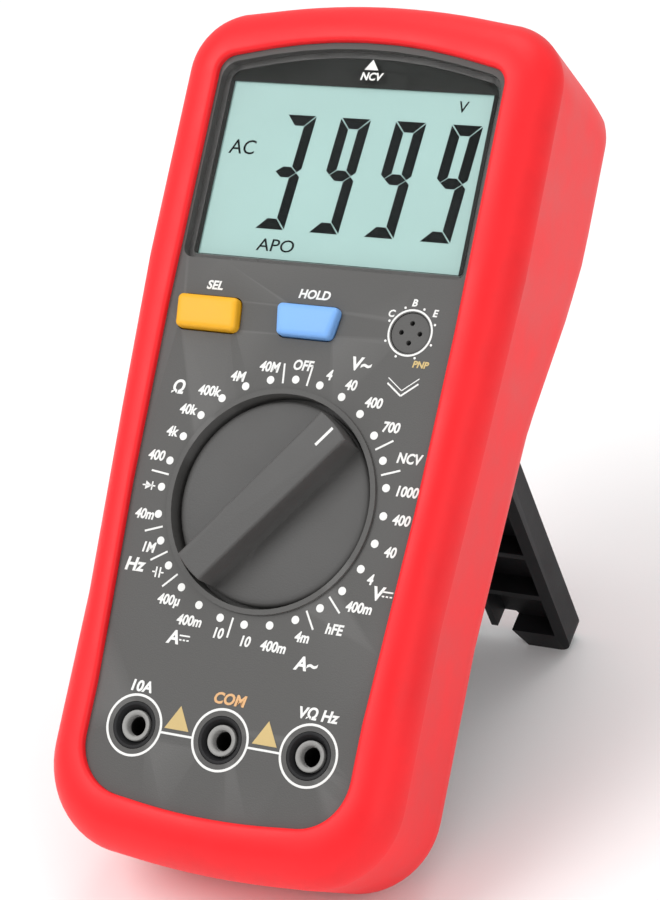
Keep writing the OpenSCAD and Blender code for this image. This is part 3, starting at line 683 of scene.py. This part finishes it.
def dial_print():
    ink = Print(0.0)
    for k, (words, lx, ly) in enumerate(LABELS):
        ink.dot(*at_dial(k, DOT_R), 0.85)
        if words:
            ink.text(words, lx, ly, 2.15, stretch=0.86)
    for k in BREAKS:
        ink.line(*at_dial(k, 24.7), *at_dial(k, 28.9), 0.4)
    for words, x, y in (("V~", 13.8, 30.1), ("A~", 15.4, -31.6), ("A", -15.4, -30.4),
                        ("V", 27.6, -15.6), ("Ω", -26.8, 21.2), ("Hz", -28.0, -16.8)):
        ink.text(words, x, y, 2.8)
    # Direct current marks: a solid line over three dashes
    for x, y in ((-12.8, -30.2), (29.9, -15.4)):
        ink.line(x - 1.2, y + 0.45, x + 1.2, y + 0.45, 0.32)
        for k in (-0.85, 0, 0.85):
            ink.line(x + k - 0.26, y - 0.45, x + k + 0.26, y - 0.45, 0.32)
    # Diode and capacitor marks at the two positions between the resistance and current ranges
    x, y = at_dial(21, 28.6)
    ink.line(x - 1.5, y, x + 1.5, y, 0.3)
    ink.flat([(x - 0.8, y + 0.9), (x - 0.8, y - 0.9), (x + 0.7, y)])
    ink.line(x + 0.75, y - 0.9, x + 0.75, y + 0.9, 0.3)
    x, y = at_dial(18, 28.3)
    for k in (-0.45, 0.45):
        ink.line(x + k, y - 1.1, x + k, y + 1.1, 0.34)
        ink.line(x + k, y, x + 3 * k, y, 0.3)
    # Keys, transistor socket and jacks
    ink.text("SEL", -23.3, 43.7, 1.9)
    ink.text("HOLD", 0.2, 43.6, 1.9)
    socket = panel_box("hfe_socket")
    cx, cy = (socket[0].x + socket[1].x) / 2, (socket[0].y + socket[1].y) / 2
    ink.ring(cx, cy, 4.75, 0.4)
    for k in range(8):
        a = math.radians(22.5 + 45 * k)
        ink.dot(cx + 5.5 * math.cos(a), cy + 5.5 * math.sin(a), 0.26)
    for words, dx, dy in (("C", -5.0, 3.6), ("B", -0.3, 6.2), ("E", 4.6, 4.4)):
        ink.text(words, cx + dx, cy + dy, 1.5)
    # Double chevron below the transistor socket
    chevron = [(20.6, 27.0), (24.0, 24.6), (27.4, 27.4)]
    for (x0, y0), (x1, y1) in zip(chevron, chevron[1:]):
        ink.line(x0, y0, x1, y1, 0.35)
        ink.line(x0, y0 + 1.1, x1, y1 + 1.1, 0.2)
    for x in JACK_XS:
        ink.ring(x, JACK_Y, 6.2, 0.5)
    for x in (-10, 10):
        ink.line(x - 3.6, JACK_Y - 0.5, x + 3.6, JACK_Y - 0.5, 0.45)
    ink.text("10A", -20.4, -41.3, 2.3)
    ink.text("VΩ Hz", 20.2, -41.1, 2.3)
    ink.make("dial_print", "print_white", "white_plastic")
    gold = Print(0.0)
    for x in (-10.2, 10.0):
        gold.flat([(x - 2.8, JACK_Y + 0.5), (x + 2.8, JACK_Y + 0.5), (x, JACK_Y + 5.4)])
    gold.text("PNP", cx + 3.6, cy - 6.4, 1.4)
    gold.make("dial_marks", "print_gold", "yellow_rubber")
    orange = Print(0.0)
    orange.text("COM", 0.2, -41.0, 2.3)
    orange.make("com_mark", "print_orange", "yellow_rubber")


dial_print()

pointer = Print(BAR_TOP - 0.02)
pointer.flat([(0.15, 15.4), (0.75, 15.4), (0.75, 20.3), (0.15, 20.3)], POINTER)
pointer.make("pointer_line", "print_white", "white_plastic", "selector")

# Closed sections of the jack collar and of the rim round the bore, as (radius, z)
COLLAR = [(3.22, -3.0), (4.84, -3.0), (4.84, -0.1), (4.75, 0.02), (4.5, 0.05), (4.2, 0.0),
          (3.95, -0.3), (3.7, -0.9), (3.22, -1.45)]
RIM_RING = [(2.1, -2.38), (3.2, -2.38), (3.2, -0.75), (3.1, -0.6), (2.9, -0.55), (2.45, -0.6),
            (2.2, -0.8), (2.1, -1.1)]


def jack_trim():
    """Black collar in each cup and the paler rim round each bore."""
    collars, rims = Print(0.0), Print(0.0)
    for x in JACK_XS:
        for target, profile in ((collars, COLLAR), (rims, RIM_RING)):
            loops = [[(x + r * math.cos(2 * math.pi * i / 64),
                       JACK_Y + r * math.sin(2 * math.pi * i / 64), z) for i in range(64)]
                     for r, z in profile]
            v, f = loops_to_mesh(loops, wrap=True)
            target.faces += [tuple(len(target.verts) + i for i in face) for face in f]
            target.verts += v
    collars.make("jack_collars", "black_plastic", "black_plastic")
    rims.make("jack_rims", "jack_grey", "nickel")


jack_trim()

# ---- Display ---------------------------------------------------------------
LCD_FACE = panel_box("lcd_glass")[1].z
words = Print(LCD_FACE)
words.text("AC", -25.3, 74.8, 3.3, slant=0.1, bold=0.0)
words.text("V", 23.6, 86.4, 2.6, slant=0.1, bold=0.0)
words.text("APO", -12.5, 53.9, 2.8, slant=0.1, bold=0.0, stretch=1.15)
words.make("display_words", "lcd_ink", "lcd_ink")

DIGITS = ("abcdg", "abcdfg", "abcdfg", "abcdfg")
DIGIT_W, DIGIT_H, BAR_W, SLOT_W, DIGIT_SLANT = 6.9, 25.2, 2.3, 0.22, 0.085
DIGIT_PITCH, DIGIT_X, DIGIT_Y = 12.75, -18.3, 57.5


def segment(letter):
    """Corner points of one mitred segment in its digit's own box, gaps included."""
    w, h, b, g, m = DIGIT_W, DIGIT_H, BAR_W, SLOT_W, DIGIT_H / 2
    upper = {
        "a": [(g, h), (w - g, h), (w - b - g * 0.4, h - b), (b + g * 0.4, h - b)],
        "f": [(0, h - g), (b, h - b - g), (b, m + b / 2 + g * 0.5), (b * 0.4, m + g * 0.5),
              (0, m + b * 0.4)],
        "b": [(w, h - g), (w - b, h - b - g), (w - b, m + b / 2 + g * 0.5),
              (w - b * 0.4, m + g * 0.5), (w, m + b * 0.4)],
    }
    if letter in upper:
        return upper[letter]
    if letter == "g":
        return [(b * 0.45, m), (b + g, m + b / 2), (w - b - g, m + b / 2), (w - b * 0.45, m),
                (w - b - g, m - b / 2), (b + g, m - b / 2)]
    return [(x, h - y) for x, y in upper[{"d": "a", "e": "f", "c": "b"}[letter]]]


def show_digits():
    digits = Print(LCD_FACE)
    for k, lit in enumerate(DIGITS):
        for letter in lit:
            digits.flat([(DIGIT_X + k * DIGIT_PITCH + x + DIGIT_SLANT * y, DIGIT_Y + y)
                         for x, y in segment(letter)])
    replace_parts(digits.make("digits", "lcd_ink", "lcd_ink"), "display_segments")


show_digits()

bezel_mark = Print(-0.8)
bezel_mark.flat([(0.4, 92.9), (3.6, 92.9), (2.0, 95.2)])
bezel_mark.text("NCV", 2.2, 91.4, 1.7)
bezel_mark.make("bezel_mark", "print_white", "white_plastic")

# ---- Stage, light and camera -----------------------------------------------


def stage_plane():
    mesh = bpy.data.meshes.new("floor")
    mesh.from_pydata([(-3, -3, 0), (3, -3, 0), (3, 3, 0), (-3, 3, 0)], [], [(0, 1, 2, 3)])
    floor = bpy.data.objects.new("floor", mesh)
    bpy.context.scene.collection.objects.link(floor)
    mat, tree, bsdf = new_material("floor")
    coords = add(tree, "ShaderNodeTexCoord")
    colors = add(tree, "ShaderNodeMix", data_type="RGBA")
    colors.inputs["A"].default_value = (0.93, 0.93, 0.93, 1)
    colors.inputs["B"].default_value = (0.96, 0.96, 0.96, 1)
    tree.links.new(noise(tree, coords, 3).outputs["Fac"], colors.inputs["Factor"])
    tree.links.new(colors.outputs["Result"], bsdf.inputs["Base Color"])
    bsdf.inputs["Roughness"].default_value = 0.8
    mesh.materials.append(mat)


def area_light(name, place, target, size, power):
    lamp = bpy.data.lights.new(name, "AREA")
    lamp.size = size
    lamp.energy = power
    obj = bpy.data.objects.new(name, lamp)
    obj.location = place
    aim = Vector(target) - Vector(place)
    obj.rotation_euler = aim.to_track_quat("-Z", "Y").to_euler()
    bpy.context.scene.collection.objects.link(obj)


def studio():
    stage_plane()
    middle = (0, 0, 0.08)
    area_light("key", (-0.6, -0.6, 1.1), middle, 0.8, 8.5)
    area_light("right", (1.0, -0.5, 0.5), middle, 0.8, 2.5)
    area_light("top", (0.0, 0.4, 1.2), middle, 0.8, 4)
    world = bpy.data.worlds.new("studio")
    world.use_nodes = True
    world.node_tree.nodes["Background"].inputs["Color"].default_value = (1, 1, 1, 1)
    world.node_tree.nodes["Background"].inputs["Strength"].default_value = 0.66
    bpy.context.scene.world = world
    bpy.context.scene.view_settings.view_transform = "Standard"


def camera():
    """Stands in front of the panel, to its right and a little below its axis."""
    cam = bpy.data.cameras.new("camera")
    cam.sensor_width = 36
    cam.lens = 110.4
    obj = bpy.data.objects.new("camera", cam)
    back = Vector((0.4498, -0.1624, 0.8782)).normalized()
    right = Vector((0.8865, 0.2005, -0.4170))
    right = (right - back * right.dot(back)).normalized()
    axes = Matrix((right, back.cross(right), back)).transposed()
    turn = PANEL.to_3x3() @ axes
    obj.matrix_world = Matrix.Translation(row(261.0, -78.3, 488.2)) @ turn.to_4x4()
    bpy.context.scene.collection.objects.link(obj)
    bpy.context.scene.camera = obj


studio()
camera()
